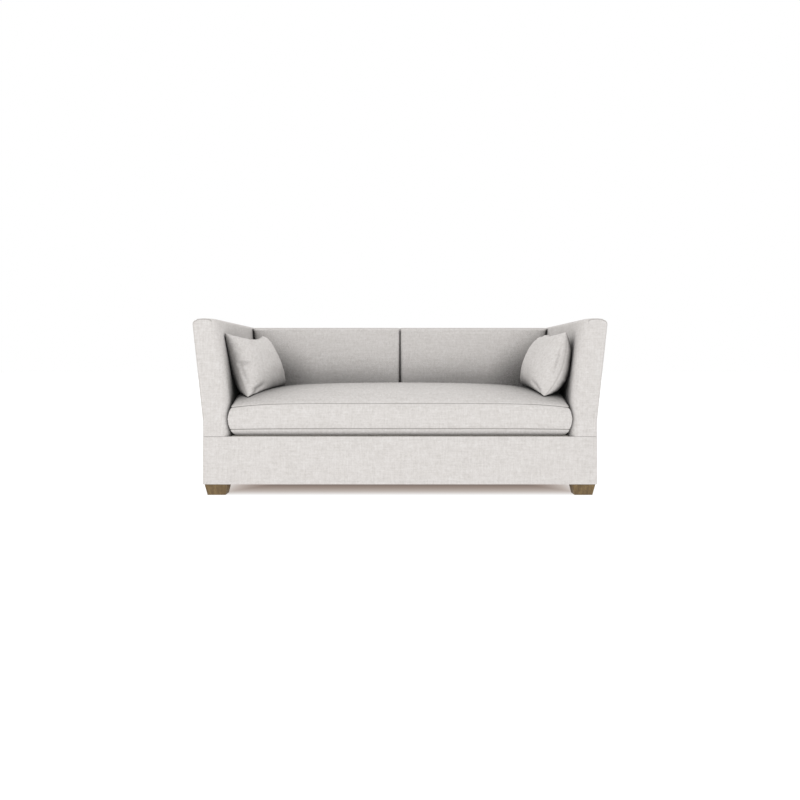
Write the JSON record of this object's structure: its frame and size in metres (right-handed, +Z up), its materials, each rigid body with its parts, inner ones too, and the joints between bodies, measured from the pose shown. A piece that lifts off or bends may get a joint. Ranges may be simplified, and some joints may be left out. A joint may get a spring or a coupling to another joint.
{
  "type": "two-seat sofa",
  "caption": "Two-seat sofa with outward leaning arms at back height, a boxed bench seat cushion, loose pillows on the arms and short tapered wooden feet.",
  "frame": {"origin": "on the floor, under the middle of the sofa's overall box", "axes": "+X to the right of someone who stands in front of the sofa, +Y towards its back, +Z up; the front faces -Y"},
  "size_m": [1.96, 0.94, 0.832],
  "materials": {
    "linen": "matt light grey linen melange with slubs, over foam and wadding",
    "deck_cloth": "plain cotton decking over felt",
    "dust_cloth": "black non-woven dust cloth",
    "oak": "oiled oak, satin",
    "beech": "planed beech, unfinished",
    "jute": "woven jute webbing",
    "spring_steel": "drawn spring wire, lightly oiled",
    "zinc_steel": "zinc plated"
  },
  "bodies": {
    "sofa": {"front_rail": "beech", "back_rail": "beech", "side_rail_right": "beech", "side_rail_left": "beech", "seat_cross_rail": "beech", "spring_rail": "beech", "corner_block_front_left": "beech", "corner_block_front_right": "beech", "corner_block_rear_left": "beech", "corner_block_rear_right": "beech", "arm_front_board_right": "beech", "arm_front_board_left": "beech", "arm_rear_board_right": "beech", "arm_rear_board_left": "beech", "arm_top_rail_right": "beech", "arm_top_rail_left": "beech", "arm_tack_rail_right": "beech", "arm_tack_rail_left": "beech", "inside_arm_pad_right": "linen", "inside_arm_pad_left": "linen", "outside_arm_panel_right": "linen", "outside_arm_panel_left": "linen", "arm_front_pad_right": "linen", "arm_front_pad_left": "linen", "front_base_band": "linen", "back_base_band": "linen", "side_base_band_right": "linen", "side_base_band_left": "linen", "dust_cover": "dust_cloth", "foot_front_left": "oak", "foot_front_right": "oak", "foot_rear_left": "oak", "foot_rear_right": "oak", "hanger_bolt_front_left": "zinc_steel", "hanger_bolt_front_right": "zinc_steel", "hanger_bolt_rear_left": "zinc_steel", "hanger_bolt_rear_right": "zinc_steel", "seat_spring_1": "spring_steel", "seat_spring_2": "spring_steel", "seat_spring_3": "spring_steel", "seat_spring_4": "spring_steel", "seat_spring_5": "spring_steel", "seat_spring_6": "spring_steel", "seat_spring_7": "spring_steel", "front_clip_strip": "zinc_steel", "rear_clip_strip": "zinc_steel", "seat_deck": "deck_cloth", "back_upright_right": "beech", "back_upright_left": "beech", "back_upright_middle": "beech", "back_top_rail": "beech", "back_lower_rail": "beech", "back_webbing_1": "jute", "back_webbing_2": "jute", "back_pad_right": "linen", "back_pad_left": "linen", "outside_back_panel": "linen"},
    "seat_cushion": {"seat_cushion": "linen"},
    "pillow_left": {"pillow_left": "linen"},
    "pillow_right": {"pillow_right": "linen"}
  },
  "joints": [
    {"name": "seat_cushion_lift", "type": "slide", "parent": "sofa", "child": "seat_cushion", "axis": [0, 0, 1], "range_m": [0, 0.6]},
    {"name": "pillow_left_lift", "type": "slide", "parent": "seat_cushion", "child": "pillow_left", "axis": [0, 0, 1], "range_m": [0, 0.45]},
    {"name": "pillow_right_lift", "type": "slide", "parent": "seat_cushion", "child": "pillow_right", "axis": [0, 0, 1], "range_m": [0, 0.45]}
  ]
}
